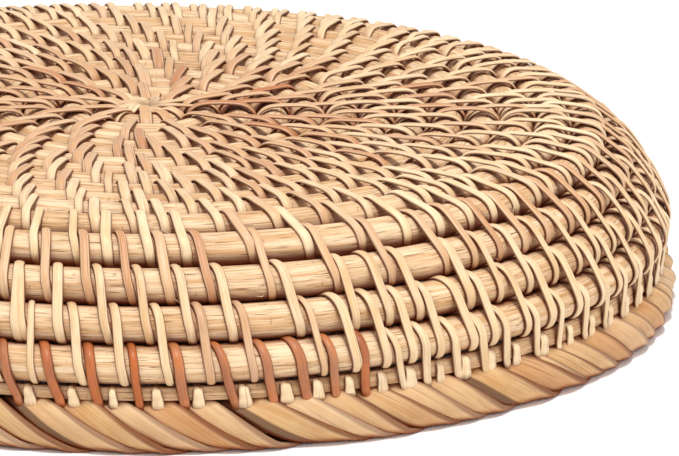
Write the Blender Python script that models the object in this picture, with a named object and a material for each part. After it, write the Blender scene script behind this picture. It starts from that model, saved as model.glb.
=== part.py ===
"""Round hand-coiled rattan chair seat pad, a shallow upturned bowl.

One spiral of round rattan runs from the middle of the seat to the foot of the
wall. A wedge-shaped splint levels its lower edge, and a rope-like cane border
bound over a hoop makes the foot. Crossed rattan bearers sit in the hollow.
Units are metres and +Z is up. The border rests on z = 0 and the pad is centred
on the Z axis.
"""
import math

import bpy
import numpy as np

# ---- driving dimensions -------------------------------------------------
PITCH = 0.0115            # spacing of neighbouring coils, along the surface
CORE_R = 0.0054           # radius of the round rattan core
JOINT_GAP = 0.0008        # gap left along the cane at a scarf joint
SCARF = 0.008             # half the length of a scarf cut
SPIN = -1                 # the coil runs clockwise going out, seen from above
PHASE = math.radians(-136.8)
STEPS_PER_TURN = 36
TUBE_SIDES = 8
CROWN_Z = 0.0519          # height of the coil's centre line at the middle

# Slope of the coil's centre surface against distance along it from the middle.
# A positive slope goes down. The seat rises a little to its shoulder and then turns over.
SLOPES = (
    (0.000, 0.0),
    (0.062, -1.9),
    (0.126, -1.9),
    (0.1415, 8.0),
    (0.153, 44.0),
    (0.1645, 54.0),
    (0.176, 61.0),
    (0.1875, 84.0),
    (0.210, 100.0),
)
# Where one length of core cane ends and the next begins, in turns.
CANE_TURNS = (1.0, 3.0, 5.0, 7.25, 9.0, 10.5, 11.75, 12.75, 13.5, 14.25, 15.0, 15.75, 16.18)
END_TAPER = 0.10          # turns over which the last cane is shaved down

END_SCALE = 0.35          # what is left of the core's radius at its very end

KNOT_R = 0.0042           # button that starts the coil
KNOT_H = 0.0070
KNOT_SIDES = 12
# Radius and height of the button's rings, as shares of KNOT_R and KNOT_H.
KNOT_PROFILE = ((0.55, -0.5), (0.9, -0.35), (1.0, 0.0), (0.9, 0.3), (0.5, 0.5))

SPLINT_T = 0.0022         # thickness of the levelling splint
SPLINT_LOW = 0.1925       # its lower edge, as distance along the surface
SPLINT_GAP = 0.0005
SPLINT_BEFORE = (0.985, 0.13)  # turns before the coil's end where it starts and stops
SPLINT_STEPS = 42

RIM_R = 0.1668            # centre line of the border
RIM_Z = 0.0063            # its height above the foot
RIM_OUT = 0.0083          # crest radius before the foot is flattened
RIM_GROOVE = 0.0009       # depth between neighbouring border strips
RIM_LOBES = 7             # ridges round the section
RIM_SECTIONS = 8
RIM_STEPS = 22            # steps along one section
RIM_BORE = 0.0048
RIM_GAP = 0.0004
HOOP_R = 0.0038
HOOP_STEPS = 64
HOOP_START = math.radians(96)
HOOP_GAP = 0.004          # between the hoop's two ends

BEARER_R = 0.0050
BEARER_Y = 0.048          # half the spacing of each pair
BEARER_TOP_Z = 0.0385
BEARER_LOW_Z = 0.0281
BEARER_TOP_HALF = 0.128
BEARER_LOW_HALF = 0.136
BEARER_SIDES = 12
BEARER_CHAMFER = 0.002    # length of the shaved end
BEARER_TIP = 0.7          # its radius there, as a share
LASH_T = 0.0009
LASH_W = 0.0040
LASH_GAP = 0.0004
LASH_CORNER = 0.0022      # corner cut of the loop


# ---- helpers ------------------------------------------------------------
def clear_scene():
    for ob in list(bpy.data.objects):
        bpy.data.objects.remove(ob, do_unlink=True)


def material(name, colour, roughness):
    mat = bpy.data.materials.new(name)
    mat.use_nodes = True
    shader = mat.node_tree.nodes["Principled BSDF"]
    shader.inputs["Base Color"].default_value = (*colour, 1.0)
    shader.inputs["Roughness"].default_value = roughness
    return mat


def add_mesh(name, points, faces, colour, roughness=0.55):
    mesh = bpy.data.meshes.new(name)
    mesh.from_pydata([tuple(map(float, p)) for p in points], [], faces)
    mesh.update()
    ob = bpy.data.objects.new(name, mesh)
    bpy.context.scene.collection.objects.link(ob)
    ob.data.materials.append(material(name + "_mat", colour, roughness))
    face_out(mesh)
    return ob


def face_out(mesh):
    """Turn every face round if the closed mesh encloses negative volume."""
    volume = 0.0
    for poly in mesh.polygons:
        corners = [mesh.vertices[i].co for i in poly.vertices]
        for i in range(1, len(corners) - 1):
            volume += corners[0].dot(corners[i].cross(corners[i + 1]))
    if volume < 0:
        mesh.flip_normals()


def surface_table():
    """Distance along the surface, radius, height and slope, finely sampled."""
    s = np.linspace(0.0, SLOPES[-1][0], 1051)
    slope = np.radians(np.interp(s, [a for a, _ in SLOPES], [b for _, b in SLOPES]))
    mid = 0.5 * (slope[1:] + slope[:-1])
    ds = np.diff(s)
    r = np.concatenate([[0.0], np.cumsum(np.cos(mid) * ds)])
    z = CROWN_Z - np.concatenate([[0.0], np.cumsum(np.sin(mid) * ds)])
    return s, r, z, slope


TABLE = surface_table()


def surface(s, sink=0.0):
    """Radius, height and slope at distance s, sink below the surface."""
    r = np.interp(s, TABLE[0], TABLE[1])
    z = np.interp(s, TABLE[0], TABLE[2])
    slope = np.interp(s, TABLE[0], TABLE[3])
    return r - sink * np.sin(slope), z - sink * np.cos(slope), slope


def coil_vertex(k):
    """Centre, outward normal and along-slope direction at whole step k."""
    turn = k / STEPS_PER_TURN
    r, z, slope = surface(PITCH * turn)
    a = SPIN * 2 * math.pi * turn + PHASE
    out = np.array([math.cos(a), math.sin(a), 0.0])
    up = np.array([0.0, 0.0, 1.0])
    centre = r * out + z * up
    normal = math.sin(slope) * out + math.cos(slope) * up
    along = math.cos(slope) * out - math.sin(slope) * up
    return centre, normal, along


def coil_frame(t):
    """The same at any step t, on the straight chord between whole steps."""
    k = math.floor(t)
    f = t - k
    first = coil_vertex(k)
    second = coil_vertex(k + 1)
    return [(1 - f) * p + f * q for p, q in zip(first, second)]


def tube_faces(rings, sides):
    faces = []
    for i in range(rings - 1):
        for j in range(sides):
            a = i * sides + j
            b = i * sides + (j + 1) % sides
            faces.append((a, b, b + sides, a + sides))
    faces.append(tuple(range(sides - 1, -1, -1)))
    faces.append(tuple((rings - 1) * sides + j for j in range(sides)))
    return faces


# ---- sub-parts ----------------------------------------------------------
def core_radius(t, last):
    """Core radius at step t. Only the last cane is shaved down at its end."""
    end = CANE_TURNS[-1] * STEPS_PER_TURN
    left = (end - t) / (END_TAPER * STEPS_PER_TURN)
    if last and left < 1.0:
        return CORE_R * (END_SCALE + (1.0 - END_SCALE) * max(left, 0.0))
    return CORE_R


def scarf_shift(t, angle):
    """How far along the coil one corner of a scarf-cut end moves, in steps."""
    turn = t / STEPS_PER_TURN
    r, _, _ = surface(PITCH * turn)
    step = 2 * math.pi * r / STEPS_PER_TURN
    reach = min(SCARF, 0.3 * step)
    return reach * math.cos(angle) / step, JOINT_GAP / step


def core_cane(index):
    first = CANE_TURNS[index] * STEPS_PER_TURN
    final = CANE_TURNS[index + 1] * STEPS_PER_TURN
    last = index == len(CANE_TURNS) - 2
    stations = [first]
    stations += list(range(math.floor(first) + 1, math.ceil(final)))
    stations += [final]
    points = []
    for i, t in enumerate(stations):
        for j in range(TUBE_SIDES):
            angle = 2 * math.pi * (j + 0.5) / TUBE_SIDES
            shift, gap = scarf_shift(t, angle)
            at = t
            if i == 0 and index > 0:
                at = t + shift + 0.5 * gap
            if i == len(stations) - 1 and not last:
                at = t + shift - 0.5 * gap
            centre, normal, along = coil_frame(at)
            radius = core_radius(t, last)
            ring = math.cos(angle) * normal + math.sin(angle) * along
            points.append(centre + radius * ring)
    shade = 0.02 * math.sin(2.4 * index)
    colour = (0.78 + shade, 0.58 + shade, 0.38 + shade)
    faces = tube_faces(len(stations), TUBE_SIDES)
    return add_mesh("core_cane_%02d" % (index + 1), points, faces, colour, 0.6)


def start_knot():
    """Domed button in the eye of the spiral."""
    _, z0, _ = surface(0.0)
    points = []
    for scale, level in KNOT_PROFILE:
        for j in range(KNOT_SIDES):
            a = 2 * math.pi * j / KNOT_SIDES
            r = KNOT_R * scale
            points.append((r * math.cos(a), r * math.sin(a), z0 + level * KNOT_H))
    faces = tube_faces(len(KNOT_PROFILE), KNOT_SIDES)
    return add_mesh("start_knot", points, faces, (0.80, 0.60, 0.36), 0.5)


def edge_splint():
    """Flat wedge between the last coil and the border, one turn long."""
    start, end = (CANE_TURNS[-1] - before for before in SPLINT_BEFORE)
    points = []
    for i in range(SPLINT_STEPS + 1):
        turn = start + (end - start) * i / SPLINT_STEPS
        high = PITCH * (turn + 0.5) + SPLINT_GAP
        a = SPIN * 2 * math.pi * turn + PHASE
        for s, sink in ((high, -SPLINT_T), (SPLINT_LOW, -SPLINT_T),
                        (SPLINT_LOW, 0.0), (high, 0.0)):
            r, z, _ = surface(s, sink)
            points.append((r * math.cos(a), r * math.sin(a), z))
    return add_mesh("edge_splint", points, tube_faces(SPLINT_STEPS + 1, 4),
                    (0.74, 0.54, 0.33), 0.6)


def rim_point(a, radius, psi):
    """Point of a ring section round the border's centre line, foot at z = 0."""
    r = RIM_R + radius * math.cos(psi)
    z = max(RIM_Z + radius * math.sin(psi), 0.0)
    return (r * math.cos(a), r * math.sin(a), z)


def border_wrap(index):
    """One eighth of the border: a ridged cane sleeve round the hoop, flat below."""
    arc = 2 * math.pi / RIM_SECTIONS
    half_gap = 0.5 * RIM_GAP / RIM_R
    start = index * arc + half_gap
    end = (index + 1) * arc - half_gap
    outer = 2 * RIM_LOBES
    points = []
    for i in range(RIM_STEPS + 1):
        a = start + (end - start) * i / RIM_STEPS
        for j in range(outer):
            psi = 2 * math.pi * j / outer - math.pi / 2
            groove = RIM_GROOVE if (i + j) % 2 else 0.0
            points.append(rim_point(a, RIM_OUT - groove, psi))
    bore = len(points)
    bore_steps = RIM_STEPS // 2
    for i in range(bore_steps + 1):
        a = start + (end - start) * i / bore_steps
        for j in range(RIM_LOBES):
            psi = 2 * math.pi * j / RIM_LOBES - math.pi / 2
            points.append(rim_point(a, RIM_BORE, psi))
    faces = []
    for i in range(RIM_STEPS):
        for j in range(outer):
            p = i * outer + j
            q = i * outer + (j + 1) % outer
            faces.append((p, q, q + outer, p + outer))
    for i in range(bore_steps):
        for j in range(RIM_LOBES):
            p = bore + i * RIM_LOBES + j
            q = bore + i * RIM_LOBES + (j + 1) % RIM_LOBES
            faces.append((q, p, p + RIM_LOBES, q + RIM_LOBES))
    last_ring = RIM_STEPS * outer
    last_bore = bore + bore_steps * RIM_LOBES
    for j in range(RIM_LOBES):
        nxt = (j + 1) % RIM_LOBES
        a0, a1, a2 = 2 * j, 2 * j + 1, (2 * j + 2) % outer
        b0, b1 = bore + j, bore + nxt
        faces += [(a0, b0, a1), (a1, b0, b1), (a1, b1, a2)]
        c0, c1, c2 = last_ring + a0, last_ring + a1, last_ring + a2
        d0, d1 = last_bore + j, last_bore + nxt
        faces += [(c0, c1, d0), (c1, d1, d0), (c1, c2, d1)]
    colour = (0.80, 0.57, 0.30) if index % 2 else (0.77, 0.53, 0.27)
    return add_mesh("border_wrap_%d" % (index + 1), points, faces, colour, 0.45)


def rim_hoop():
    """Rod bent into a ring inside the border, its ends nearly meeting."""
    sweep = 2 * math.pi - HOOP_GAP / RIM_R
    points = []
    for i in range(HOOP_STEPS + 1):
        a = HOOP_START + sweep * i / HOOP_STEPS
        for j in range(TUBE_SIDES):
            psi = 2 * math.pi * j / TUBE_SIDES
            points.append(rim_point(a, HOOP_R, psi))
    return add_mesh("rim_hoop", points, tube_faces(HOOP_STEPS + 1, TUBE_SIDES),
                    (0.70, 0.50, 0.31), 0.65)


def bearer(name, half, offset, z, turned):
    """Straight round bearer with chamfered ends."""
    full = half - BEARER_CHAMFER
    stations = ((-half, BEARER_TIP), (-full, 1.0), (full, 1.0), (half, BEARER_TIP))
    points = []
    for x, scale in stations:
        for j in range(BEARER_SIDES):
            psi = 2 * math.pi * (j + 0.5) / BEARER_SIDES
            u = offset + BEARER_R * scale * math.cos(psi)
            w = z + BEARER_R * scale * math.sin(psi)
            points.append((u, x, w) if turned else (x, u, w))
    faces = tube_faces(len(stations), BEARER_SIDES)
    return add_mesh(name, points, faces, (0.66, 0.46, 0.28), 0.65)


def lashing(name, x, y):
    """Flat cane loop round two crossing bearers, set on the diagonal."""
    half = BEARER_R * math.sqrt(2) + 0.5 * LASH_W + LASH_GAP
    low = BEARER_LOW_Z - BEARER_R - LASH_GAP
    high = BEARER_TOP_Z + BEARER_R + LASH_GAP
    mid = 0.5 * (low + high)
    tall = 0.5 * (high - low)
    cut = LASH_CORNER
    loop = ((-half, -tall + cut), (-half + cut, -tall), (half - cut, -tall),
            (half, -tall + cut), (half, tall - cut), (half - cut, tall),
            (-half + cut, tall), (-half, tall - cut))
    turn = math.radians(45 if x * y > 0 else 135)
    c, s = math.cos(turn), math.sin(turn)
    points = []
    for side in (-0.5, 0.5):
        for outer in (0, 1):
            for u, w in loop:
                u2 = u + outer * LASH_T * (1 if u > 0 else -1)
                w2 = w + outer * LASH_T * (1 if w > 0 else -1)
                v = side * LASH_W
                points.append((x + c * u2 - s * v, y + s * u2 + c * v, mid + w2))
    n = len(loop)
    faces = []
    for j in range(n):
        k = (j + 1) % n
        faces.append((j, k, n + k, n + j))
        faces.append((2 * n + k, 2 * n + j, 3 * n + j, 3 * n + k))
        faces.append((k, j, 2 * n + j, 2 * n + k))
        faces.append((n + j, n + k, 3 * n + k, 3 * n + j))
    return add_mesh(name, points, faces, (0.80, 0.58, 0.30), 0.5)


def main():
    clear_scene()
    start_knot()
    for index in range(len(CANE_TURNS) - 1):
        core_cane(index)
    edge_splint()
    rim_hoop()
    for index in range(RIM_SECTIONS):
        border_wrap(index)
    for n, side in enumerate((-1, 1)):
        offset = side * BEARER_Y
        bearer("bearer_top_%d" % (n + 1), BEARER_TOP_HALF, offset, BEARER_TOP_Z, False)
        bearer("bearer_low_%d" % (n + 1), BEARER_LOW_HALF, offset, BEARER_LOW_Z, True)
    corners = [(x, y) for x in (-1, 1) for y in (-1, 1)]
    for n, (x, y) in enumerate(corners):
        lashing("lashing_%d" % (n + 1), x * BEARER_Y, y * BEARER_Y)


main()
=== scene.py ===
# %% [markdown]
# # A hand-coiled rattan seat pad
# The pad is a shallow upturned bowl. One spiral of round rattan core makes the seat and the
# wall, and split cane stitches lap each coil to the one inside it. A flat splint levels the
# spiral's edge, and wide cane strips laid over a hoop make a rope-like foot.
#
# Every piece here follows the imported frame, so we load that first and keep its box.

import math

import bpy
import numpy as np
from mathutils import Matrix, Vector


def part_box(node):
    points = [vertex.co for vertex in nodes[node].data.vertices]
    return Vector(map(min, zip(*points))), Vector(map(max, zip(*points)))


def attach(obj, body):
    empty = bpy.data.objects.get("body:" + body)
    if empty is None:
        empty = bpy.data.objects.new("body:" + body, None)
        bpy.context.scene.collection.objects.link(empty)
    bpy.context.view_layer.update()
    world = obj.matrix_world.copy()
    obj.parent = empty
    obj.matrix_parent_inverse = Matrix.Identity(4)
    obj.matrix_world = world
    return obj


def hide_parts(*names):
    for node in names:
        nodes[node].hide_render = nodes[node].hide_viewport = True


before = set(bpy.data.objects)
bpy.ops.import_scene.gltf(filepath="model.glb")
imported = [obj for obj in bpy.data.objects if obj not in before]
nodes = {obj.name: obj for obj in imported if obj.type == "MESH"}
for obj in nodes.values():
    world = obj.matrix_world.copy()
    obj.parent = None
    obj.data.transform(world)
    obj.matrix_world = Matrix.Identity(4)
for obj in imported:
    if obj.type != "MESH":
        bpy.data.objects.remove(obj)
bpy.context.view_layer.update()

# %% [markdown]
# ## Driving dimensions
# The cane is what sets the size of such a pad: stitches 3 mm wide over a core of 11 mm. The
# coil's centre line is a spiral on a surface, and the surface is told by its slope against the
# distance walked outward from the middle. The same few numbers drive every piece below.

# %% Dimensions, in metres
MM = 0.001
TAU = 2 * math.pi
PITCH = 11.5 * MM  # spacing of neighbouring coils
CORE_R = 5.45 * MM  # radius of the finished core
SPIN = -1  # the coil runs clockwise going out
PHASE = math.radians(-136.8)
CROWN_Z = 51.9 * MM  # centre line's height at the middle
SLOPES = (
    (0.000, 0.0),
    (0.062, -1.9),
    (0.126, -1.9),
    (0.1415, 8.0),
    (0.153, 44.0),
    (0.1645, 54.0),
    (0.176, 61.0),
    (0.1875, 84.0),
    (0.210, 100.0),
)
CANE_TURNS = (1.0, 3.0, 5.0, 7.25, 9.0, 10.5, 11.75, 12.75, 13.5, 14.25, 15.0, 15.75, 16.18)
END_TAPER = 0.03  # turns over which the last cane is shaved down
END_OVERRUN = 0.020  # turns by which its tip reaches on to meet the splint
END_SIZE = 0.8  # what is left of its radius at the tip
SPLINT_LOW = 0.1925  # lower edge of the splint, as distance along the surface
SPLINT_T = 2.2 * MM
RIM_R = 166.8 * MM  # centre line of the border
RIM_Z = 6.3 * MM
ROPE_R = 8.4 * MM  # the border's radius at the crest of a strip
STITCH_W = 2.9 * MM
STITCH_T = 1.05 * MM

# %% [markdown]
# ## Walking on the surface
# Adding up small steps along the slope gives a table of radius and height. A point is then
# looked up by its distance from the middle, and a frame of two directions goes with it: one
# standing up from the surface and one lying along it, away from the middle.

# %% The surface and the spiral
walk = np.linspace(0.0, SLOPES[-1][0], 1051)
walk_slope = np.radians(np.interp(walk, [a for a, _ in SLOPES], [b for _, b in SLOPES]))
walk_mid = 0.5 * (walk_slope[1:] + walk_slope[:-1])
walk_r = np.concatenate([[0.0], np.cumsum(np.cos(walk_mid) * np.diff(walk))])
walk_z = CROWN_Z - np.concatenate([[0.0], np.cumsum(np.sin(walk_mid) * np.diff(walk))])


def surface(s):
    """Radius, height and slope at distance s from the middle."""
    return np.interp(s, walk, walk_r), np.interp(s, walk, walk_z), np.interp(s, walk, walk_slope)


def angle_of(turn):
    return SPIN * TAU * turn + PHASE


def flat(s):
    """Centre (r, z), standing direction and lying direction as pairs in the r-z plane."""
    r, z, slope = surface(s)
    stand = np.stack([np.sin(slope), np.cos(slope)], -1)
    lie = np.stack([np.cos(slope), -np.sin(slope)], -1)
    return np.stack([r, z], -1), stand, lie


def swing(rz, angle):
    """Turn pairs in the r-z plane to points in space at these angles round the pad."""
    return np.stack([rz[..., 0] * np.cos(angle), rz[..., 0] * np.sin(angle), rz[..., 1]], -1)


last_turn = CANE_TURNS[-1]
foot = flat(np.array([PITCH * last_turn]))[0][0]
print("last coil centre: r %.4f z %.4f" % tuple(foot))

# %% [markdown]
# ## Chance, but the same each time
# No two stitches are alike. One seeded generator gives every small difference, in a fixed
# order, so the pad comes out the same on each run. `wander` makes slow smooth noise for cane
# that swells and bends a little along its length.

# %% Seeded chance
chance = np.random.default_rng(7)


def wander(count, knots, size):
    """A smooth random curve of that many samples through that many knots."""
    marks = chance.normal(0.0, size, max(int(knots), 2) + 3)
    at = np.linspace(0, len(marks) - 1, count)
    low = np.clip(at.astype(int), 0, len(marks) - 2)
    f = at - low
    f = f * f * (3 - 2 * f)
    return marks[low] * (1 - f) + marks[low + 1] * f


# %% [markdown]
# ## Shader maths as expressions
# A node tree is easier to read as a sum. `Socket` wraps an output, and the usual operators add
# the Math nodes. Colours are mixed with Mix nodes, because a Math node would turn them grey.

# %% A small shader language
def shader_tree(name):
    mat = bpy.data.materials.new(name)
    mat.use_nodes = True
    return mat, Tree(mat.node_tree)


class Tree:
    def __init__(self, tree):
        self.tree = tree
        self.shader = tree.nodes["Principled BSDF"]

    def node(self, kind, settings=None, inputs=None, out=0):
        """One node of this type: settings first, then values or links by socket."""
        made = self.tree.nodes.new(kind)
        for key, value in (settings or {}).items():
            setattr(made, key, value)
        for key, value in (inputs or {}).items():
            self.feed(made.inputs[key], value)
        return Socket(self, made.outputs[out])

    def feed(self, socket, value):
        if isinstance(value, Socket):
            self.tree.links.new(value.output, socket)
        else:
            socket.default_value = value

    def math(self, operation, a, b=0.0):
        return self.node("ShaderNodeMath", {"operation": operation}, {0: a, 1: b})

    def attribute(self, name, out):
        return self.node("ShaderNodeAttribute", {"attribute_name": name}, None, out)

    def mix(self, factor, a, b):
        settings = {"data_type": "RGBA"}
        return self.node("ShaderNodeMix", settings, {0: factor, 6: a, 7: b}, 2)

    def stretch(self, vector, scale):
        settings = {"operation": "MULTIPLY"}
        return self.node("ShaderNodeVectorMath", settings, {0: vector, 1: scale})

    def noise(self, vector, detail=2.0, roughness=0.5):
        inputs = {"Vector": vector, "Scale": 1.0, "Detail": detail, "Roughness": roughness}
        return self.node("ShaderNodeTexNoise", {}, inputs)

    def band(self, value, low, high):
        """0 below low, 1 above high, and a smooth slope between."""
        inputs = {"Value": value, "From Min": low, "From Max": high}
        return self.node("ShaderNodeMapRange", {"interpolation_type": "SMOOTHSTEP"}, inputs)

    def crevice_shade(self, reach):
        """Painted shade: 0 in the open and 1 far in a gap, from the pieces within that reach."""
        inputs = {"Distance": reach}
        open_air = self.node("ShaderNodeAmbientOcclusion", {"samples": 8}, inputs, 1)
        return 1 - self.band(open_air, 0.14, 0.82)

    def bump(self, height, strength, distance):
        inputs = {"Height": height, "Strength": strength, "Distance": distance}
        return self.node("ShaderNodeBump", {}, inputs)


class Socket:
    def __init__(self, tree, output):
        self.tree = tree
        self.output = output

    def __add__(self, other):
        return self.tree.math("ADD", self, other)

    def __radd__(self, other):
        return self.tree.math("ADD", other, self)

    def __sub__(self, other):
        return self.tree.math("SUBTRACT", self, other)

    def __rsub__(self, other):
        return self.tree.math("SUBTRACT", other, self)

    def __mul__(self, other):
        return self.tree.math("MULTIPLY", self, other)

    def __rmul__(self, other):
        return self.tree.math("MULTIPLY", other, self)


def colour(r, g, b):
    """A colour given as it looks on a screen, 0 to 255, as linear light."""
    parts = []
    for value in (r, g, b):
        v = value / 255
        parts.append(v / 12.92 if v <= 0.04045 else ((v + 0.055) / 1.055) ** 2.4)
    return (*parts, 1.0)


# %% [markdown]
# ## Bare rattan core
# The core is what is left when the skin is split away. It is matt and pale, with straight
# fibres and open pores that show as fine dark lines. The mesh carries a `run` vector for every
# point: metres along the cane, then the two directions across it. Noise that is squeezed along
# the first and left fine in the others makes fibres that follow every bend.

# %% Core material
# Painted shade: the brown that sunk ends and hidden sides are darkened to, and the tan for
# crevices.
PAINTED_GAP_BROWN = colour(64, 20, 2)
PAINTED_CREVICE_TAN = colour(140, 56, 3)
PAINTED_GAP_SHARE = 0.85  # how far painted gap shade darkens a sunk end or hidden side
SPECULAR = 0.35


def core_material(name, light, mid, dark, grime=0.35):
    mat, t = shader_tree(name)
    run = t.attribute("run", 1)
    fibre = t.noise(t.stretch(run, (55.0, 2600.0, 2600.0)), 2.0, 0.6)
    streak = t.noise(t.stretch(run, (14.0, 520.0, 520.0)), 3.0, 0.55)
    patch = t.noise(t.stretch(run, (22.0, 60.0, 60.0)), 2.0, 0.5)
    pores = t.band(t.noise(t.stretch(run, (120.0, 3600.0, 3600.0)), 1.0, 0.5), 0.62, 0.74)
    nicks = t.band(t.noise(t.stretch(run, (900.0, 330.0, 330.0)), 2.0, 0.5), 0.66, 0.78)
    base = t.mix(t.band(streak * 0.55 + fibre * 0.45, 0.40, 0.60), mid, light)
    base = t.mix(t.band(patch, 0.50, 0.80) * grime, base, dark)
    base = t.mix(pores * 0.80, base, dark)
    base = t.mix(nicks * 0.45, base, dark)
    # Painted shade: parts sunk in a gap go to a dark brown.
    base = t.mix(t.attribute("depth_and_shade", 2) * PAINTED_GAP_SHARE, base, PAINTED_GAP_BROWN)
    # Painted shade: crevices between pieces are darkened to a tan.
    base = t.mix(t.crevice_shade(5 * MM) * 0.75, base, PAINTED_CREVICE_TAN)
    t.feed(t.shader.inputs["Base Color"], base)
    t.feed(t.shader.inputs["Roughness"], 0.78 - 0.18 * fibre)
    height = fibre * 0.6 + streak * 0.8 - pores * 0.7 - nicks * 0.4
    t.feed(t.shader.inputs["Normal"], t.bump(height, 0.8, 0.0005))
    t.shader.inputs["Specular IOR Level"].default_value = SPECULAR
    return mat


core_finish = core_material(
    "rattan_core", colour(234, 204, 166), colour(204, 159, 112), colour(138, 80, 36)
)
pole_finish = core_material(
    "bearer_pole", colour(200, 158, 110), colour(180, 134, 88), colour(120, 76, 44), 0.6
)
splint_finish = core_material(
    "edge_splint", colour(226, 190, 148), colour(200, 154, 108), colour(138, 80, 38)
)
hoop_finish = core_material(
    "rim_hoop", colour(214, 180, 140), colour(196, 158, 116), colour(130, 90, 60)
)
print("core finishes ready")

# %% [markdown]
# ## Split cane skin
# Stitches and border strips keep the shiny skin on their outer face. Their colour runs from
# straw to honey, with some strips stained mauve or rust. A `tint` colour on each strip says how
# much: red for rust, green for mauve, blue for how light it is. `across` runs from -1 to 1
# between the edges, where the pale inner wood shows and painted shade darkens the rims.

# %% Cane material
def cane_material(name, straw, honey, amber, gloss, fibre_across, pale, coat):
    mat, t = shader_tree(name)
    run = t.attribute("run", 1)
    tint = t.node("ShaderNodeSeparateColor", {}, {0: t.attribute("tint", 0)})
    tree = tint.output.node
    rust = Socket(t, tree.outputs[0])
    mauve = Socket(t, tree.outputs[1])
    light = Socket(t, tree.outputs[2])
    side = t.math("ABSOLUTE", t.attribute("across", 2))
    fibre = t.noise(t.stretch(run, (38.0, fibre_across, fibre_across)), 2.0, 0.55)
    patch = t.noise(t.stretch(run, (70.0, 160.0, 160.0)), 3.0, 0.55)
    rings = t.noise(t.stretch(run, (620.0, 90.0, 90.0)), 1.0, 0.5)
    base = t.mix(t.band(patch * 0.5 + fibre * 0.5, 0.36, 0.66), honey, straw)
    base = t.mix(t.band(patch, 0.52, 0.82) * 0.55, base, amber)
    base = t.mix(mauve, base, colour(184, 122, 78))
    stain = t.mix(t.band(patch, 0.40, 0.66), colour(178, 86, 20), colour(148, 64, 11))
    base = t.mix(rust, base, stain)
    lines = t.band(fibre, 0.56, 0.70)
    base = t.mix(lines * 0.60, base, colour(140, 82, 34))
    # Painted shade: a dark band along both edges of a strip, where it meets what lies under it.
    painted_edge_shade = t.band(side, 0.70, 0.98)
    pale_edge = t.band(side, 0.55, 0.78) * (1 - painted_edge_shade)
    base = t.mix(pale_edge * pale * (1 - rust), base, colour(250, 230, 194))
    base = t.mix(painted_edge_shade * 0.85, base, colour(104, 48, 12))
    base = t.mix(light * 0.55, base, colour(246, 222, 186))
    # Painted shade: parts sunk in a gap go to a dark brown.
    base = t.mix(t.attribute("depth_and_shade", 2) * PAINTED_GAP_SHARE, base, PAINTED_GAP_BROWN)
    # Painted shade: crevices between pieces are darkened to a tan.
    base = t.mix(t.crevice_shade(4 * MM) * 0.80, base, PAINTED_CREVICE_TAN)
    t.feed(t.shader.inputs["Base Color"], base)
    t.feed(t.shader.inputs["Roughness"], gloss + 0.16 * patch + 0.10 * lines)
    height = fibre * 0.7 + rings * 0.25 - lines * 0.5
    t.feed(t.shader.inputs["Normal"], t.bump(height, 0.45, 0.00022))
    t.shader.inputs["Specular IOR Level"].default_value = SPECULAR
    t.shader.inputs["Coat Weight"].default_value = coat
    t.shader.inputs["Coat Roughness"].default_value = 0.35
    return mat


stitch_finish = cane_material(
    "cane_stitch", colour(242, 218, 180), colour(216, 177, 126), colour(186, 124, 62),
    0.38, 2100.0, 0.45, 0.08
)
border_finish = cane_material(
    "cane_border", colour(214, 176, 126), colour(186, 138, 86), colour(162, 94, 36),
    0.54, 1400.0, 0.12, 0.0
)
print("cane finishes ready")

# %% [markdown]
# ## One builder for every cane
# Core, stitch and border strip are all the same kind of thing: a section carried along a line.
# `Bundle` takes rings of points, closes the ends, and writes the attributes that the finishes
# read. `strip_rings` makes the rings of a flat strip from a line and the way each point faces.

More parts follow.
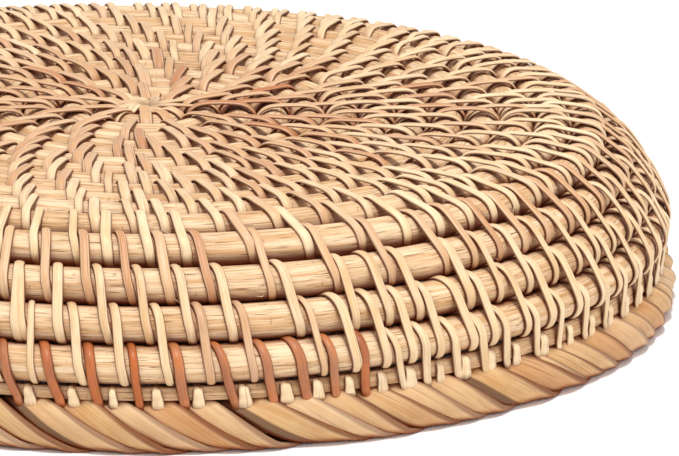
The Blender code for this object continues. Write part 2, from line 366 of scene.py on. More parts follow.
# %% Sweep a section along a line
class Bundle:
    """Collects many strips and turns them into one mesh object."""

    def __init__(self):
        self.points, self.quads, self.ends = [], [], []
        self.run, self.across, self.tint, self.depth_and_shade = [], [], [], []
        self.count = 0

    def add(self, rings, along, section_run, across, tint, depth_and_shade=0.0):
        n, m = rings.shape[:2]
        start = self.count
        i = np.arange(n - 1)[:, None] * m
        j = np.arange(m)[None, :]
        k = (j + 1) % m
        quads = np.stack([i + j, i + k, i + m + k, i + m + j], -1).reshape(-1, 4) + start
        self.quads.append(quads)
        self.ends.append(np.arange(m)[::-1] + start)
        self.ends.append(np.arange(m) + start + (n - 1) * m)
        self.points.append(rings.reshape(-1, 3))
        run = np.empty((n, m, 3))
        run[..., 0] = np.asarray(along)[:, None]
        run[..., 1:] = section_run
        self.run.append(run.reshape(-1, 3))
        self.across.append(np.broadcast_to(across, (n, m)).reshape(-1))
        tint = np.asarray(tint, float)
        if tint.ndim == 1:
            tint = np.broadcast_to(tint, (n, 3))
        self.tint.append(np.repeat(tint, m, axis=0))
        self.depth_and_shade.append(np.broadcast_to(depth_and_shade, (n, m)).reshape(-1))
        self.count += n * m

    def build(self, name, finish, slot):
        points = np.concatenate(self.points)
        quads = np.concatenate(self.quads)
        mesh = bpy.data.meshes.new(name)
        loops = np.concatenate([quads.reshape(-1)] + self.ends).astype(np.int32)
        sizes = np.concatenate([np.full(len(quads), 4), [len(e) for e in self.ends]]).astype(int)
        mesh.vertices.add(len(points))
        mesh.vertices.foreach_set("co", points.astype(np.float32).reshape(-1))
        mesh.loops.add(len(loops))
        mesh.loops.foreach_set("vertex_index", loops)
        mesh.polygons.add(len(sizes))
        starts = np.concatenate([[0], np.cumsum(sizes)[:-1]]).astype(np.int32)
        mesh.polygons.foreach_set("loop_start", starts)
        mesh.update(calc_edges=True)
        mesh.validate()
        mesh.shade_smooth()
        run = mesh.attributes.new("run", "FLOAT_VECTOR", "POINT")
        run.data.foreach_set("vector", np.concatenate(self.run).astype(np.float32).reshape(-1))
        across = mesh.attributes.new("across", "FLOAT", "POINT")
        across.data.foreach_set("value", np.concatenate(self.across).astype(np.float32))
        # Painted shade: how far each point is darkened as sunk in a gap or tucked under a
        # neighbour.
        depth_and_shade = mesh.attributes.new("depth_and_shade", "FLOAT", "POINT")
        depth_and_shade.data.foreach_set("value", np.concatenate(self.depth_and_shade).astype(np.float32))
        tint = np.concatenate(self.tint)
        tint = np.concatenate([tint, np.ones((len(tint), 1))], 1)
        made = mesh.attributes.new("tint", "FLOAT_COLOR", "POINT")
        made.data.foreach_set("color", tint.astype(np.float32).reshape(-1))
        ob = bpy.data.objects.new(name, mesh)
        bpy.context.scene.collection.objects.link(ob)
        mesh.materials.append(finish)
        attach(ob, "root")
        return ob


def unit(v):
    return v / np.maximum(np.linalg.norm(v, axis=-1, keepdims=True), 1e-12)


def lengths(points):
    steps = np.linalg.norm(np.diff(points, axis=0), axis=1)
    return np.concatenate([[0.0], np.cumsum(steps)])


def strip_rings(points, facing, width, thick, section):
    """Rings of a flat strip. section is (across -1..1, height 0..1) round the outline."""
    tangent = unit(np.gradient(points, axis=0))
    side = unit(np.cross(tangent, facing))
    up = unit(np.cross(side, tangent))
    x = section[None, :, 0] * width[:, None] / 2
    y = section[None, :, 1] * thick[:, None]
    return points[:, None] + x[..., None] * side[:, None] + y[..., None] * up[:, None]


def round_section(radius, psi):
    return radius * np.stack([np.cos(psi), np.sin(psi)], -1)


def spread(at, rows):
    """Rows of numbers, one for each key, read at places between the keys."""
    rows = np.array(rows)
    ids = np.arange(len(rows))
    return np.stack([np.interp(at, ids, row) for row in rows.T], -1)


def smooth_line(keys, per):
    """A Catmull-Rom curve through the keys, with that many samples to each stretch."""
    padded = np.concatenate([[2 * keys[0] - keys[1]], keys, [2 * keys[-1] - keys[-2]]])
    out = []
    for step in range(per):
        f = step / per
        p0, p1, p2, p3 = padded[:-3], padded[1:-2], padded[2:-1], padded[3:]
        out.append(
            0.5 * ((2 * p1) + (p2 - p0) * f + (2 * p0 - 5 * p1 + 4 * p2 - p3) * f**2
                   + (3 * p1 - p0 - 3 * p2 + p3) * f**3)
        )
    line = np.stack(out, 1).reshape(-1, keys.shape[1])
    return np.concatenate([line, keys[-1:]])


# %% [markdown]
# ## The coiled core
# Each length of core is a tube on the spiral. It is not a perfect rod: it swells and flattens
# a little, and shallow ridges run along it where the splitting tool left them. The ends are
# cut on a slant and meet in a scarf joint, as the maker does to keep the coil even.

# %% Make the core canes
CORE_SIDES = 24
SCARF_FADE = 25 * MM  # how far from a joint its slant can be felt
CORE_STEP = 3.0 * MM
SCARF = 8.0 * MM


def core_frames(turn):
    rz, stand, lie = flat(PITCH * turn)
    a = angle_of(turn)
    return swing(rz, a), swing(stand, a), swing(lie, a)


def core_cane(index):
    first, final = CANE_TURNS[index], CANE_TURNS[index + 1]
    is_last = index == len(CANE_TURNS) - 2
    if is_last:
        final += END_OVERRUN
    r_mid = float(surface(PITCH * 0.5 * (first + final))[0])
    length = TAU * r_mid * (final - first)
    n = max(int(length / CORE_STEP), 40)
    turn = np.linspace(first, final, n)
    psi = TAU * (np.arange(CORE_SIDES) + 0.5) / CORE_SIDES
    shift = np.zeros((n, CORE_SIDES))
    local = TAU * surface(PITCH * turn)[0]
    reach = np.minimum(SCARF, 0.05 * local)
    slant = np.cos(psi)[None, :] * (reach / local)[:, None]
    from_start = (turn - first) * local
    from_end = (final - turn) * local
    if index > 0:
        shift += slant * np.clip(1 - from_start / SCARF_FADE, 0, 1)[:, None]
    if not is_last:
        shift += slant * np.clip(1 - from_end / SCARF_FADE, 0, 1)[:, None]
    centre, stand, lie = core_frames(turn[:, None] + shift)
    radius = CORE_R * (1 + 0.012 * wander(n, length / 0.05, 1.0))[:, None]
    ridge = np.interp(psi, np.linspace(0, TAU, 13), np.resize(chance.normal(0, 1, 12), 13))
    radius = radius * (1 + 0.010 * ridge[None, :])
    if is_last:
        left = np.clip((final - turn) / END_TAPER, 0, 1)
        radius = radius * (END_SIZE + (1 - END_SIZE) * left)[:, None]
    offset = np.cos(psi)[None, :, None] * stand + np.sin(psi)[None, :, None] * lie
    rings = centre + radius[..., None] * offset
    bundle = Bundle()
    section = round_section(CORE_R, psi)
    # Painted shade on the two sides of the core that face the neighbouring coils.
    bundle.add(rings, np.cumsum(np.full(n, length / n)) + 3.1 * index, section[None], 0.0,
               (0.0, 0.0, 0.0), np.clip((np.abs(np.sin(psi)) - 0.74) / 0.26, 0, 1)[None] ** 2)
    ob = bundle.build("coil_core_%02d" % (index + 1), core_finish, "rattan_core")
    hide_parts("core_cane_%02d" % (index + 1))
    return ob, length


total = 0.0
for index in range(len(CANE_TURNS) - 1):
    made, length = core_cane(index)
    total += length
print("core canes: %d, %.2f m in all" % (len(CANE_TURNS) - 1, total))

# %% [markdown]
# ## Where each stitch goes
# A stitch starts in the gap inside one coil, laps over that coil and the next, and dives into
# the gap outside. The next round's stitch comes up right beside it. So each stitch is placed
# from its parent one turn further in, and the rows swirl. Where the circle has grown and a gap
# has become too wide, the maker puts in an extra stitch.

# %% Plan the stitches
SLANT = 4.0 * MM  # how far a stitch leans on its way over two coils
BESIDE = 3.6 * MM  # spacing of a stitch and the one beside it
FIRST_TURN = 1.0
FIRST_ROUND = 11
WIDE_GAP = 18.0 * MM
MOST_STITCHES = 4000


def radius_at(turn):
    return float(surface(PITCH * turn)[0])


def lean_at(turn):
    return SLANT * min(1.0, radius_at(turn) / 0.045)


def plan_stitches(stop):
    starts = list(np.linspace(FIRST_TURN, FIRST_TURN + 1, FIRST_ROUND, endpoint=False))
    limit = [WIDE_GAP * chance.uniform(0.92, 1.08) for _ in range(MOST_STITCHES)]
    i = 0
    while True:
        parent = starts[i]
        r = radius_at(parent + 1)
        beside = min(0.5 * lean_at(parent) + BESIDE, 0.42 * TAU * radius_at(parent) / FIRST_ROUND)
        child = parent + 1 - beside / (TAU * r)
        if child > stop:
            break
        if (child - starts[-1]) * TAU * r > limit[i]:
            starts.append(0.5 * (child + starts[-1]))
        starts.append(child)
        i += 1
    return np.array(starts)


LAST_START = last_turn + 1.0
starts = plan_stitches(LAST_START)
for low in (1, 4, 7, 10, 13, 15, 16):
    in_turn = int(((starts >= low) & (starts < low + 1)).sum())
    print("turn %d: %d stitches, %.1f mm apart"
          % (low, in_turn, 1000 * TAU * radius_at(low + 0.5) / max(in_turn, 1)))
print("stitches planned:", len(starts))

# %% [markdown]
# ## The stitch itself
# The cane is pulled tight round both coils, so its line is an arc over the inner coil, a
# straight run across the valley, an arc over the outer coil and a dive. The same strand then
# goes on underneath, back to the start of the next stitch. Each strand is about sixty stitches
# long and is one piece.

# %% Key points of a stitch
OVER = ((0, -122, -0.55, 0.0), (0, -96, -0.36, 0.0), (0, -68, -0.14, 0.25), (0, -36, 0.06, 0.6),
        (0, -4, 0.24, 0.95), (0.5, 0, 0.42, 1.25), (1, 4, 0.60, 0.95), (1, 36, 0.77, 0.6),
        (1, 68, 0.91, 0.25), (1, 96, 1.0, 0.0), (1, 122, 1.04, 0.0))
UNDER = ((1, 158, 0.25), (1, 182, 0.35), (0, -182, 0.65), (0, -158, 0.75))
STITCH_SECTION = np.array(
    [(-1.0, 0.12), (-0.86, 0.55), (-0.48, 0.90), (0.0, 1.0), (0.48, 0.90), (0.86, 0.55),
     (1.0, 0.12), (0.6, 0.0), (-0.6, 0.0)]
)
GAP_THIN = 0.45


def coil_key(turn, which, degrees, shift, lift):
    """Point and outward direction of the strip's base, shifted sideways along the coil."""
    r_ref = surface(PITCH * (turn + 0.5))[0]
    moved = turn - shift / (TAU * r_ref)
    inner, _, _ = flat(PITCH * moved)
    outer, _, _ = flat(PITCH * (moved + 1))
    e = unit(outer - inner)
    m = np.stack([-e[1], e[0]])
    m = m if m[1] > 0 or m[0] > 0 else -m
    centre = inner + (outer - inner) * which
    a = math.radians(degrees)
    direction = math.cos(a) * m + math.sin(a) * e
    angle = angle_of(turn) + shift / r_ref
    return swing(centre + (CORE_R + lift) * direction, angle), swing(direction, angle)


def over_keys(turn, lean, bulge):
    keys, faces, thick, dark = [], [], [], []
    for which, degrees, f, arch in OVER:
        p, n = coil_key(turn, which, degrees, f * lean, 0.05 * MM + arch * bulge)
        keys.append(p)
        faces.append(n)
        # Further into the gap the strip thins, and painted shade darkens it.
        depth_and_shade = min(max((abs(degrees) - 66) / 40, 0), 1)
        thick.append(1 - (1 - GAP_THIN) * depth_and_shade)
        dark.append(depth_and_shade)
    return keys, faces, thick, dark


def under_keys(turn, lean, next_shift):
    keys, faces, thick, dark = [], [], [], []
    for which, degrees, f in UNDER:
        shift = lean + (next_shift - 1.55 * lean) * f
        p, n = coil_key(turn, which, degrees, shift, 0.05 * MM)
        keys.append(p)
        faces.append(n)
        # The run underneath takes a little painted shade.
        thick.append(0.7)
        dark.append(0.15)
    return keys, faces, thick, dark


# %% [markdown]
# ## Colour of the strands
# A maker works from one bundle, but no two canes match. Most strands are honey, some are pale,
# and a few are mauve brown. The last round at one side was sewn with a rust-red cane.

# %% Tints of the strands
STRANDS = (
    (0.00, 0.00, 0.30), (0.00, 0.10, 0.15), (0.00, 0.45, 0.00), (0.00, 0.05, 0.35),
    (0.00, 0.30, 0.10), (0.04, 0.55, 0.00), (0.00, 0.00, 0.20), (0.00, 0.20, 0.25),
)


def stitch_tint(strand_tint, turn):
    rust, mauve, light = strand_tint
    mauve = mauve + max(chance.normal(0.0, 0.12), -0.1)
    light = light + chance.normal(0.0, 0.16)
    if chance.random() < 0.12:
        mauve += 0.4
    if chance.random() < 0.03:
        rust += 0.45
    if turn > last_turn - 3:
        mauve *= 0.35
    return np.clip([rust, mauve, light], 0.0, 1.0)


# %% Sew the strands
PER_STRAND = 58
STRAND_STEP = 5  # order in which the tints are taken
SHOULDER_TURN = 12.3  # the cane is pulled tighter round the shoulder


def slack(angle):
    """How loosely the cane lies: it arches more at the two sides, mostly the right."""
    side = math.cos(angle + 0.2)
    return 1.0 + (1.2 if side > 0 else 0.7) * side**2


def sew(name, these, strand_tint):
    """One strand through these stitches, as one piece."""
    keys, faces, thick, dark, width, tint = [], [], [], [], [], []
    for i, turn in enumerate(these):
        lean = lean_at(turn) * chance.normal(1.0, 0.20)
        loose = slack(angle_of(turn))
        tight = 1.0 - 0.5 * math.exp(-(((turn - SHOULDER_TURN) / 1.5) ** 2))
        bulge = abs(chance.normal(0.34, 0.20)) * loose * tight * MM
        k, n, h, d = over_keys(turn, lean, bulge)
        wide = chance.normal(1.0, 0.10) * (0.96 + 0.06 * loose)
        shade = stitch_tint(strand_tint, turn)
        if i + 1 < len(these):
            step = (these[i + 1] - turn) * TAU * radius_at(turn + 0.5)
            under = under_keys(turn, lean, -step)
            k, n, h, d = (a + b for a, b in zip((k, n, h, d), under))
        keys += k
        faces += n
        thick += h
        dark += d
        width += [wide * (0.62 + 0.38 * t) for t in h]
        tint += [shade] * len(k)
    line = smooth_line(np.array(keys), 3)
    n = len(line)
    at = np.linspace(0, len(keys) - 1, n)
    ids = np.arange(len(keys))
    facing = spread(at, faces)
    shades = spread(at, tint)
    size = np.interp(at, ids, width) * STITCH_W
    tall = np.interp(at, ids, thick) * STITCH_T
    broad = 1.22 - 0.22 * min(1.0, radius_at(these[0]) / 0.15)
    rings = strip_rings(line, facing, size * broad, tall, STITCH_SECTION)
    section = STITCH_SECTION * (STITCH_W / 2, STITCH_T)
    bundle = Bundle()
    bundle.add(rings, lengths(line) + chance.uniform(0, 40), section[None],
               STITCH_SECTION[:, 0], shades, np.interp(at, ids, dark)[:, None])
    return bundle.build(name, stitch_finish, "cane_binding")


splint_start = last_turn - 1.0
lap_stitches = starts[starts <= splint_start]
strand = 0
for low in range(0, len(lap_stitches), PER_STRAND):
    these = lap_stitches[low : low + PER_STRAND + 1]
    if len(these) < 3:
        break
    strand += 1
    sew("stitch_strand_%02d" % strand, these, STRANDS[strand * STRAND_STEP % len(STRANDS)])
print("strands sewn:", strand, "with", len(lap_stitches), "stitches")

# %% [markdown]
# ## The levelling splint
# The spiral's lower edge climbs by one coil in a turn, and the border wants a level edge. A
# flat splint, cut as a long wedge, fills the difference. Its faces are split wood, so it takes
# the core's finish, with slightly rounded edges.

# %% Make the splint
SPLINT_GAP = 0.3 * MM
SPLINT_STEPS = 420
SPLINT_FROM, SPLINT_TO = 0.985, 0.13  # turns before the coil's end
SPLINT_TALL = 6 * MM  # usual height of its face


def splint_edges(turn):
    """Distances of the splint's upper and lower edges beside the last coil at this turn."""
    return PITCH * (turn + 0.5) + SPLINT_GAP, SPLINT_LOW


def make_splint():
    turn = np.linspace(last_turn - SPLINT_FROM, last_turn - SPLINT_TO, SPLINT_STEPS)
    high, low = splint_edges(turn)
    outline = ((0.0, 0.3), (0.0, 0.8), (0.06, 1.0), (0.94, 1.0), (1.0, 0.8), (1.0, 0.2),
               (0.94, 0.0), (0.06, 0.0))
    rings = []
    wave = wander(SPLINT_STEPS, 60, 0.10 * MM)
    for f, h in outline:
        s = high + (low - high) * f
        rz, stand, _ = flat(s)
        rings.append(swing(rz + stand * (SPLINT_T * h + wave)[:, None], angle_of(turn)))
    rings = np.stack(rings, 1)
    bundle = Bundle()
    section = np.array([(SPLINT_TALL * f, SPLINT_T * h) for f, h in outline])
    along = lengths(rings[:, 0])
    bundle.add(rings, along + 50.0, section[None], 0.0, (0, 0, 0))
    ob = bundle.build("levelling_splint", splint_finish, "edge_splint")
    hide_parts("edge_splint")


make_splint()
print("splint made")

# %% [markdown]
# ## The last two rounds
# The last round laps the last coil and the splint, and tucks under the border. One more round
# of short stitches comes up between the coil and the splint and goes straight under the
# border. Here the strips end out of sight, so each one is its own short piece of cane.

# %% Stitches over the splint
def splint_key(turn, shift, amount, height):
    """A point over the splint: amount 0 at its upper edge and 1 at its lower edge."""
    r_ref = surface(SPLINT_LOW)[0]
    moved = turn - shift / (TAU * r_ref)
    high, low = splint_edges(moved)
    s = high + (low - high) * amount if amount <= 1 else low + (amount - 1) * SPLINT_TALL
    rz, stand, _ = flat(s)
    angle = angle_of(turn) + shift / r_ref
    return swing(rz + stand * height, angle), swing(stand, angle)


def tail_keys(turn, lean, lift):
    """Over the splint and in behind the border."""
    keys, faces = [], []
    stations = ((0.30, SPLINT_T + lift), (0.85, SPLINT_T + 0.2 * MM),
                (1.25, SPLINT_T - 0.1 * MM), (1.75, -0.6 * MM))
    for amount, height in stations:
        p, n = splint_key(turn, lean * (0.55 + 0.3 * amount), amount, height)
        keys.append(p)
        faces.append(n)
    return keys, faces


def short_strip(bundle, keys, faces, shade, wide, taper, dark):
    line = smooth_line(np.array(keys), 4)
    n = len(line)
    at = np.linspace(0, len(keys) - 1, n)
    facing = spread(at, faces)
    size = STITCH_W * wide * np.interp(at / (len(keys) - 1), *taper)
    depth_and_shade = np.interp(at / (len(keys) - 1), *dark)[:, None]
    rings = strip_rings(line, facing, size, np.full(n, STITCH_T), STITCH_SECTION)
    section = STITCH_SECTION * (STITCH_W / 2, STITCH_T)
    bundle.add(rings, lengths(line) + chance.uniform(0, 40), section[None],
               STITCH_SECTION[:, 0], shade, depth_and_shade)


def is_rust(angle):
    """The rust-red cane was used on the side that faces the front left."""
    return 195 <= math.degrees(angle) % 360 <= 292


LAP_TO_COIL = OVER[:5] + ((0, 30, 0.38, 1.6),)
PLAIN = ([0, 0.15, 0.85, 1], [0.75, 1.0, 1.0, 0.8])
FLARE = ([0, 0.4, 0.75, 1], [0.8, 0.95, 1.35, 1.8])
# Painted shade along a short strip: dark where it comes out of the gap and where it tucks under
# the border.
LAP_PAINTED_SHADE = ([0, 0.08, 0.2, 0.9, 1], [1.0, 0.8, 0.0, 0.0, 0.5])
SHORT_PAINTED_SHADE = ([0, 0.25, 0.9, 1], [1.0, 0.0, 0.0, 0.5])
last_round = Bundle()
short_round = Bundle()
counts = [0, 0]
for turn in starts[starts > splint_start]:
    lean = SLANT * chance.normal(1.0, 0.2)
    keys, faces = [], []
    if turn <= last_turn:
        for which, degrees, f, arch in LAP_TO_COIL:
            p, n = coil_key(turn, which, degrees, f * lean, (0.05 + 0.3 * arch) * MM)
            keys.append(p)
            faces.append(n)
        k, n = tail_keys(turn, lean, 1.0 * MM)
        rust = chance.uniform(0.8, 1.0) if is_rust(angle_of(turn)) else 0.0
        light = 0.0 if rust else max(chance.normal(0.15, 0.1), 0)
        short_strip(last_round, keys + k, faces + n, (rust, 0.0, light),
                    chance.normal(1.0, 0.08), PLAIN, LAP_PAINTED_SHADE)
        counts[0] += 1
    else:
        inner = turn - 1
        lean = 0.5 * lean
        for degrees in (122, 100):
            p, n = coil_key(inner, 0, degrees, lean * 0.7, 0.1 * MM)
            keys.append(p)
            faces.append(n)
        k, n = tail_keys(inner, lean, 0.3 * MM)
        shade = (0.0, 0.0, max(chance.normal(0.45, 0.12), 0))
        short_strip(short_round, keys + k, faces + n, shade, chance.normal(1.05, 0.10),
                    FLARE, SHORT_PAINTED_SHADE)
        counts[1] += 1
last_round.build("stitch_last_round", stitch_finish, "cane_binding")
short_round.build("stitch_under_border", stitch_finish, "cane_binding")
print("last round %d, short round %d" % tuple(counts))

# %% [markdown]
# ## The border
# Wide cane strips start under the splint and run down and round the hoop, each overlapping the
# next like the strands of a rope. A strip is leaf-shaped: full where it shows and narrow where
# it tucks under. It is tilted a little, so that one edge rides over its neighbour.

# %% Lay the border strips
STRIPS = 86
STRIP_RUN = 60.0 * MM  # how far a strip travels round the pad from end to end
STRIP_W = 9.8 * MM
STRIP_T = 1.9 * MM
STRIP_STEPS = 44
STRIP_FROM, STRIP_SWEEP = 126, 326  # degrees round the hoop where it starts, and how far it goes
SOLE_T = 0.45 * MM  # a strip's thickness where the pad stands on it
PAIR_APART = 3.0 * MM
PAIR_W = 0.80
PAIR_TILT, SINGLE_TILT = 0.20, 0.16
STRIP_SECTION = np.array(
    [(-1.0, 0.10), (-0.99, 0.60), (-0.90, 0.84), (-0.65, 0.97), (-0.3, 1.0), (0.1, 0.97),
     (0.3, 0.91), (0.42, 0.85), (0.75, 0.60), (1.0, 0.25), (0.6, 0.0), (0.0, 0.0), (-0.7, 0.0)]
)


def border_strip(bundle, start_angle, wide, tilt, sole):
    t = np.linspace(0, 1, STRIP_STEPS)
    psi = np.radians(STRIP_FROM - STRIP_SWEEP * t)
    run = STRIP_RUN * chance.normal(1.0, 0.09)
    angle = start_angle + run * (0.55 * t + 0.80 * t**2) / RIM_R
    base = ROPE_R - STRIP_T + 0.1 * MM + chance.normal(0, 0.22 * MM)
    base = base - 1.0 * MM * np.clip((t - 0.62) / 0.38, 0, 1)
    base = base - 0.8 * MM * np.clip(1 - t / 0.16, 0, 1)
    r = RIM_R + base * np.cos(psi)
    z = np.maximum(RIM_Z + base * np.sin(psi), sole + SOLE_T)
    points = swing(np.stack([r, z], -1), angle)
    face = swing(np.stack([np.cos(psi), np.sin(psi)], -1), angle)
    side = unit(np.cross(unit(np.gradient(points, axis=0)), face))
    face = unit(face + chance.normal(tilt, 0.03) * side)
    leaf = np.interp(t, [0, 0.1, 0.28, 0.6, 0.85, 1], [0.62, 0.76, 1.0, 1.0, 0.85, 0.5])
    width = STRIP_W * leaf * wide * chance.uniform(0.94, 1.20)
    rings = strip_rings(points, face, width, np.full(STRIP_STEPS, STRIP_T), STRIP_SECTION)
    rings[..., 2] = np.maximum(rings[..., 2], sole)
    amber = chance.random() < 0.18
    shade = (
        chance.uniform(0.15, 0.45) if amber else 0.0,
        max(chance.normal(0.06, 0.16), 0.0),
        0.0 if amber else max(chance.normal(0.12, 0.22), 0.0),
    )
    section = STRIP_SECTION * (STRIP_W / 2, STRIP_T)
    # Painted shade: the start tucked under the splint, and a dark line along the edge that dips
    # under its neighbour.
    depth_and_shade = np.clip(1 - t / 0.11, 0, 1)[:, None] * 0.7
    edge = np.clip((STRIP_SECTION[:, 0] - 0.30) / 0.12, 0, 1)[None] * 0.9
    bundle.add(rings, lengths(points) + chance.uniform(0, 40), section[None],
               STRIP_SECTION[:, 0], shade, np.maximum(depth_and_shade, edge))


SECTIONS = 8
PAIRED = 0.2  # share of the places where two narrow strips lie side by side
border_parts = [Bundle() for _ in range(SECTIONS)]
laid = 0
for i in range(STRIPS):
    a = TAU * (i + chance.normal(0, 0.07)) / STRIPS
    part = border_parts[int(i * SECTIONS / STRIPS)]
    sole = (0.03 + 0.08 * (i % 6)) * MM
    if chance.random() < PAIRED:
        border_strip(part, a - PAIR_APART / RIM_R, PAIR_W, PAIR_TILT, sole)
        border_strip(part, a + PAIR_APART / RIM_R, PAIR_W, PAIR_TILT, sole + 0.04 * MM)
        laid += 2
    else:
        border_strip(part, a, 1.0, SINGLE_TILT, sole)
        laid += 1
for k, part in enumerate(border_parts):
    ob = part.build("border_strips_%d" % (k + 1), border_finish, "cane_border")
    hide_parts("border_wrap_%d" % (k + 1))
print("border strips:", laid)

# %% [markdown]
# ## The eye of the spiral
# The coil starts as a tight button, and the first stitches radiate from it like a star. The
# button is a small dome of core, and the star is a round of short strips over the first coil.

# %% Make the start
PETALS = 10
CURL_FROM = 0.44  # the core is shaved thin here and curls into the eye
PETAL_LAP = ((-30, 0.1), (4, 0.3), (36, 0.5), (68, 0.7), (98, 0.9), (122, 1.0))
SHORT_PETALS = 5
FIRST_PETAL = 0.70  # turn
BUTTON_R, BUTTON_H = 5.6 * MM, 4.3 * MM
SHORT_ROOT = ((0.8, 3.4), (2.6, 5.2), (4.8, 5.5), (6.6, 3.8))  # distance out and height, in mm


def start_curl():
    """The first stretch of core, too tight for the frame's first cane."""
    n = 60
    turn = np.linspace(CURL_FROM, CANE_TURNS[0], n)
    psi = TAU * (np.arange(CORE_SIDES) + 0.5) / CORE_SIDES
    centre, stand, lie = core_frames(turn[:, None])
    offset = np.cos(psi)[None, :, None] * stand + np.sin(psi)[None, :, None] * lie
    size = np.interp(turn, [CURL_FROM, CURL_FROM + 0.12, 1.0], [0.75, 1.0, 1.0]) * CORE_R
    bundle = Bundle()
    section = round_section(CORE_R, psi)
    bundle.add(centre + size[:, None, None] * offset, turn * 0.07, section[None], 0.0, (0, 0, 0))
    bundle.build("start_curl", core_finish, "rattan_core")


def petal_key(out, up, angle):
    return np.array([out * MM * math.cos(angle), out * MM * math.sin(angle), CROWN_Z + up * MM])


def petal_shade():
    return (0.0, max(chance.normal(0.35, 0.25), 0), max(chance.normal(0.0, 0.1), 0))


def start_star():
    bundle = Bundle()
    level = np.array([0.0, 0.0, 1.0])
    for i in range(PETALS):
        turn = FIRST_PETAL + (i + chance.normal(0, 0.15)) / PETALS
        a = angle_of(turn) - 0.45
        keys = [petal_key(0.5, 4.4, a), petal_key(2.2, 5.6, a + 0.12)]
        faces = [level, level]
        far = PITCH / MM * turn - 4.5
        if far > 5:
            keys.append(petal_key(0.5 * (2.2 + far), 6.1, a + 0.26))
            faces.append(level)
        for degrees, f in PETAL_LAP:
            p, n = coil_key(turn, 0, degrees, f * 2.0 * MM, 0.3 * MM)
            keys.append(p)
            faces.append(n)
        # Painted shade at both ends of a petal, where it leaves the eye and where it dives into
        # the gap.
        short_strip(bundle, keys, faces, petal_shade(), chance.normal(1.45, 0.08),
                    ([0, 0.15, 0.35, 1], [0.45, 0.85, 1.0, 1.0]),
                    ([0, 0.08, 0.24, 0.8, 1], [1.0, 0.7, 0.0, 0.0, 1.0]))
    for i in range(SHORT_PETALS):
        a = TAU * (i + chance.normal(0, 0.2)) / SHORT_PETALS
        keys = [petal_key(out, up, a + 0.1 * k) for k, (out, up) in enumerate(SHORT_ROOT)]
        short_strip(bundle, keys, [level] * len(keys), petal_shade(), 1.25,
                    ([0, 0.3, 0.8, 1], [0.5, 0.95, 1.0, 0.8]), ([0, 0.7, 1], [0.4, 0.0, 1.0]))
    bundle.build("start_star", stitch_finish, "cane_binding")


def start_button():
    bundle = Bundle()
    n, m = 14, 24
    psi = TAU * np.arange(m) / m
    rise = np.linspace(-0.9, 1.0, n) * math.pi / 2
    rings = np.stack(
        [np.stack([BUTTON_R * math.cos(v) * np.cos(psi), BUTTON_R * math.cos(v) * np.sin(psi),
                   np.full(m, CROWN_Z + BUTTON_H * math.sin(v))], -1) for v in rise]
    )
    section = round_section(4.1 * MM, psi)
    bundle.add(rings, rise * 0.004, section[None], 0.0, (0, 0, 0.2))
    ob = bundle.build("start_button", core_finish, "cane_binding")
    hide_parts("start_knot")


start_button()
start_curl()
start_star()
print("start made")

# %% [markdown]
# ## Bearers and their lashings
# Under the seat two pairs of whole rattan poles cross, each with the slight swellings of its
# growth joints. Split cane lashes them together in a few turns on the diagonal.

# %% Make the bearers
BEARER_R = 4.8 * MM
JOINTS = (-0.42, 0.35)  # growth joints, as places between the ends at -1 and 1
JOINT_LONG = 4.0 * MM


def bearer(node, name):
    low, high = (np.array(v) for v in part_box(node))
    axis = int(np.argmax(high - low))
    centre = 0.5 * (low + high)
    half = 0.5 * (high - low)[axis]
    n, m = 150, 24
    t = np.linspace(-1, 1, n)
    psi = TAU * np.arange(m) / m
    joint = sum(np.exp(-(((t - place) * half / JOINT_LONG) ** 2)) for place in JOINTS)
    radius = BEARER_R * (0.97 + 0.05 * joint + 0.01 * wander(n, 12, 1.0))
    past = ((np.abs(t) * half - half + 2.0 * MM) / (2.5 * MM)).clip(0)
    radius = radius * np.sqrt(np.clip(1 - past**2, 0.2, 1))
    bend = 0.25 * MM * np.sin(3.1 * t + 1.0)
    rings = np.zeros((n, m, 3))
    rings[..., axis] = centre[axis] + (t * half)[:, None]
    rings[..., 1 - axis] = centre[1 - axis] + bend[:, None] + radius[:, None] * np.cos(psi)
    rings[..., 2] = centre[2] + radius[:, None] * np.sin(psi)
    if axis == 1:
        rings = rings[:, ::-1]
    bundle = Bundle()
    section = round_section(BEARER_R, psi)
    bundle.add(rings, t * half + chance.uniform(60, 90), section[None], 0.0, (0, 0, 0))
    ob = bundle.build(name, pole_finish, "bearer_pole")
    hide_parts(node)


for layer in ("top", "low"):
    for k in (1, 2):
        bearer("bearer_%s_%d" % (layer, k), "bearer_pole_%s_%d" % (layer, k))
print("bearers made")

# %% Lash the crossings
LASH_TURNS = 4
LASH_W, LASH_T = 1.5 * MM, 0.5 * MM
LASH_WIDE = 8.6 * MM  # half its span over the crossing
LASH_SQUARE = 0.62  # below 1 the loop is squarer than an ellipse


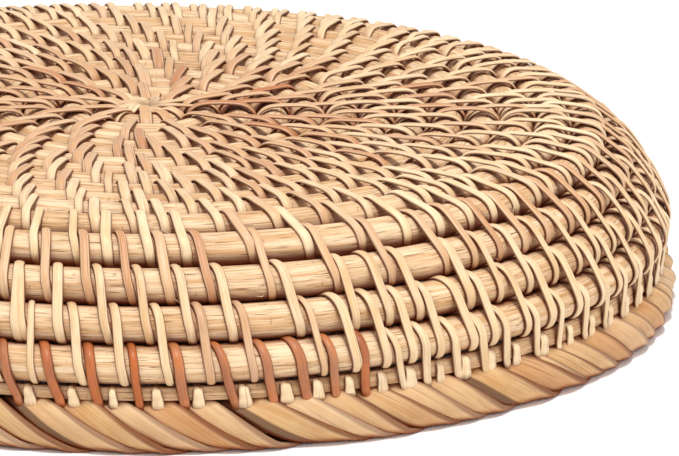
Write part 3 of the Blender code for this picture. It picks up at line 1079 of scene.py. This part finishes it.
def lashing(node, name):
    low, high = (np.array(v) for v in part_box(node))
    centre = 0.5 * (low + high)
    tall = 0.5 * (high - low)[2] - 0.65 * MM
    turn = math.radians(45 if centre[0] * centre[1] > 0 else 135)
    out = np.array([math.cos(turn), math.sin(turn), 0.0])
    over = np.array([-math.sin(turn), math.cos(turn), 0.0])
    n = 28 * LASH_TURNS
    a = TAU * np.linspace(0, LASH_TURNS - 0.1, n)
    x = LASH_WIDE * np.sign(np.cos(a)) * np.abs(np.cos(a)) ** LASH_SQUARE
    z = tall * np.sign(np.sin(a)) * np.abs(np.sin(a)) ** LASH_SQUARE
    shift = np.linspace(-1, 1, n) * 1.6 * LASH_W
    points = centre + x[:, None] * out + shift[:, None] * over
    points[:, 2] += z
    face = np.cos(a)[:, None] * out + np.sin(a)[:, None] * np.array([0, 0, 1.0])
    rings = strip_rings(points, face, np.full(n, LASH_W), np.full(n, LASH_T), STITCH_SECTION)
    bundle = Bundle()
    section = STITCH_SECTION * (LASH_W / 2, LASH_T)
    bundle.add(rings, lengths(points), section[None], STITCH_SECTION[:, 0], (0, 0.05, 0.2))
    ob = bundle.build(name, stitch_finish, "cane_binding")
    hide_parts(node)


for k in range(1, 5):
    lashing("lashing_%d" % k, "cane_lashing_%d" % k)
print("lashings made")

# %% [markdown]
# ## The hoop
# The hoop is hidden inside the border, and its CAD shape is right, so it only gets its finish.
# It has no `run` vector, so it reads as plain pale wood.

# %% Finish the hoop
hoop = nodes["rim_hoop"]
for slot_index in range(len(hoop.material_slots)):
    hoop.material_slots[slot_index].material = hoop_finish
print("hoop finished")

# %% [markdown]
# ## Stray fibres
# Split cane frays. Thin pale hairs stand out of the gaps between the coils, mostly short
# and curled. They break the outline the way the real ones do.

# %% Fray some fibres
HAIRS = 130
HAIR_R = 0.15 * MM


def hairs():
    bundle = Bundle()
    for _ in range(HAIRS):
        turn = chance.uniform(2.5, last_turn - 0.3)
        side = chance.choice((-70.0, 60.0, 85.0))
        root, out = coil_key(turn, 0, side, 0.0, -0.3 * MM)
        sideways = np.array([-root[1], root[0], 0.0]) / np.hypot(root[0], root[1])
        length = chance.uniform(3.0, 9.0) * MM
        lean = unit(out + sideways * chance.normal(0, 1.1) + np.array([0, 0, 0.3]))
        curl = unit(sideways * chance.normal(0, 1) + out * chance.normal(0, 0.4))
        t = np.linspace(0, 1, 9)
        line = root + (t * length)[:, None] * lean + (t**2 * length * 0.5)[:, None] * curl
        line = line - out * (t**2 * length * 0.35)[:, None]
        taper = HAIR_R * (1.15 - 0.9 * t)
        square = np.array([(1.0, 0.0), (0.0, 1.0), (-1.0, 0.0), (0.0, -1.0)])
        rings = strip_rings(line, np.tile(sideways, (9, 1)) + 0.3 * out, 2 * taper, taper, square)
        bundle.add(rings, t * length + chance.uniform(0, 9), square[None] * HAIR_R, 0.0,
                   (0, 0, 0.7))
    return bundle.build("stray_fibres", stitch_finish, "cane_binding")


hairs()
print("fibres:", HAIRS)

# %% [markdown]
# ## Camera
# The pad is seen from close to the level of the table with a long lens, so its far side is
# nearly as large as its near side. The view is aimed to the right of the middle, and the near
# left of the pad runs out of the frame.

# %% Set the camera
FRAME_W, FRAME_H = 679, 456
SENSOR = 36.0
LENS_RATIO = 4.916  # lens length over sensor width
CAMERA_AWAY = 1.1057
CAMERA_RISE = math.radians(14.49)
AIM_RIGHT = math.radians(3.449)
AIM_DOWN = math.radians(2.012)
ROLL = math.radians(1.384)
seat_top = np.array([0.0, 0.0, CROWN_Z + 5.4 * MM])


def set_camera():
    place = seat_top + CAMERA_AWAY * np.array([0, -math.cos(CAMERA_RISE), math.sin(CAMERA_RISE)])
    pitch = -CAMERA_RISE - AIM_DOWN
    ahead = np.array([
        math.sin(AIM_RIGHT) * math.cos(pitch), math.cos(AIM_RIGHT) * math.cos(pitch),
        math.sin(pitch)])
    right = unit(np.cross(ahead, [0, 0, 1]))
    up = np.cross(right, ahead)
    right, up = (right * math.cos(ROLL) + up * math.sin(ROLL),
                 up * math.cos(ROLL) - right * math.sin(ROLL))
    data = bpy.data.cameras.new("camera")
    data.sensor_width = SENSOR
    data.lens = LENS_RATIO * SENSOR
    data.clip_start = 0.05
    data.clip_end = 50.0
    cam = bpy.data.objects.new("camera", data)
    bpy.context.scene.collection.objects.link(cam)
    matrix = np.eye(4)
    matrix[:3, 0], matrix[:3, 1], matrix[:3, 2], matrix[:3, 3] = right, up, -ahead, place
    cam.matrix_world = Matrix(matrix.tolist())
    bpy.context.scene.camera = cam


set_camera()
print("camera set for a %d by %d frame" % (FRAME_W, FRAME_H))

# %% [markdown]
# ## Light and floor
# A bright, even studio: a white floor that fades into a white world, one lamp high in front for
# soft shape, and a weak one from the right. The gaps between the strips are dark because they
# are sunk, and painted shade in the finishes darkens and warms them further.

# %% Light the studio
WORLD_LIGHT = 0.70
FLOOR_HALF = 6.0
FLOOR_SHADE = (0.97, 0.97, 0.97, 1.0)
KEY_PLACE, KEY_SIZE, KEY_WATTS = (0.0, -0.7, 2.1), 0.4, 36.0
FILL_PLACE, FILL_SIZE, FILL_WATTS = (1.3, -1.2, 0.9), 1.2, 5.0


def area_light(name, place, size, power):
    data = bpy.data.lights.new(name, "AREA")
    data.shape = "DISK"
    data.size = size
    data.energy = power
    lamp = bpy.data.objects.new(name, data)
    lamp.location = place
    aim = -np.array(place) + seat_top
    lamp.rotation_euler = Vector(aim).to_track_quat("-Z", "Y").to_euler()
    bpy.context.scene.collection.objects.link(lamp)


def studio():
    world = bpy.data.worlds.new("studio")
    world.use_nodes = True
    background = world.node_tree.nodes["Background"]
    background.inputs[0].default_value = (1.0, 1.0, 1.0, 1.0)
    background.inputs[1].default_value = WORLD_LIGHT
    bpy.context.scene.world = world
    mesh = bpy.data.meshes.new("floor")
    half = FLOOR_HALF
    corners = [(-half, -half, 0), (half, -half, 0), (half, half, 0), (-half, half, 0)]
    mesh.from_pydata(corners, [], [(0, 1, 2, 3)])
    floor = bpy.data.objects.new("floor", mesh)
    bpy.context.scene.collection.objects.link(floor)
    mat, t = shader_tree("floor_paper")
    t.shader.inputs["Base Color"].default_value = FLOOR_SHADE
    t.shader.inputs["Roughness"].default_value = 0.9
    mesh.materials.append(mat)
    area_light("key", KEY_PLACE, KEY_SIZE, KEY_WATTS)
    area_light("fill", FILL_PLACE, FILL_SIZE, FILL_WATTS)
    bpy.context.scene.view_settings.view_transform = "Standard"


studio()
print("studio lit")
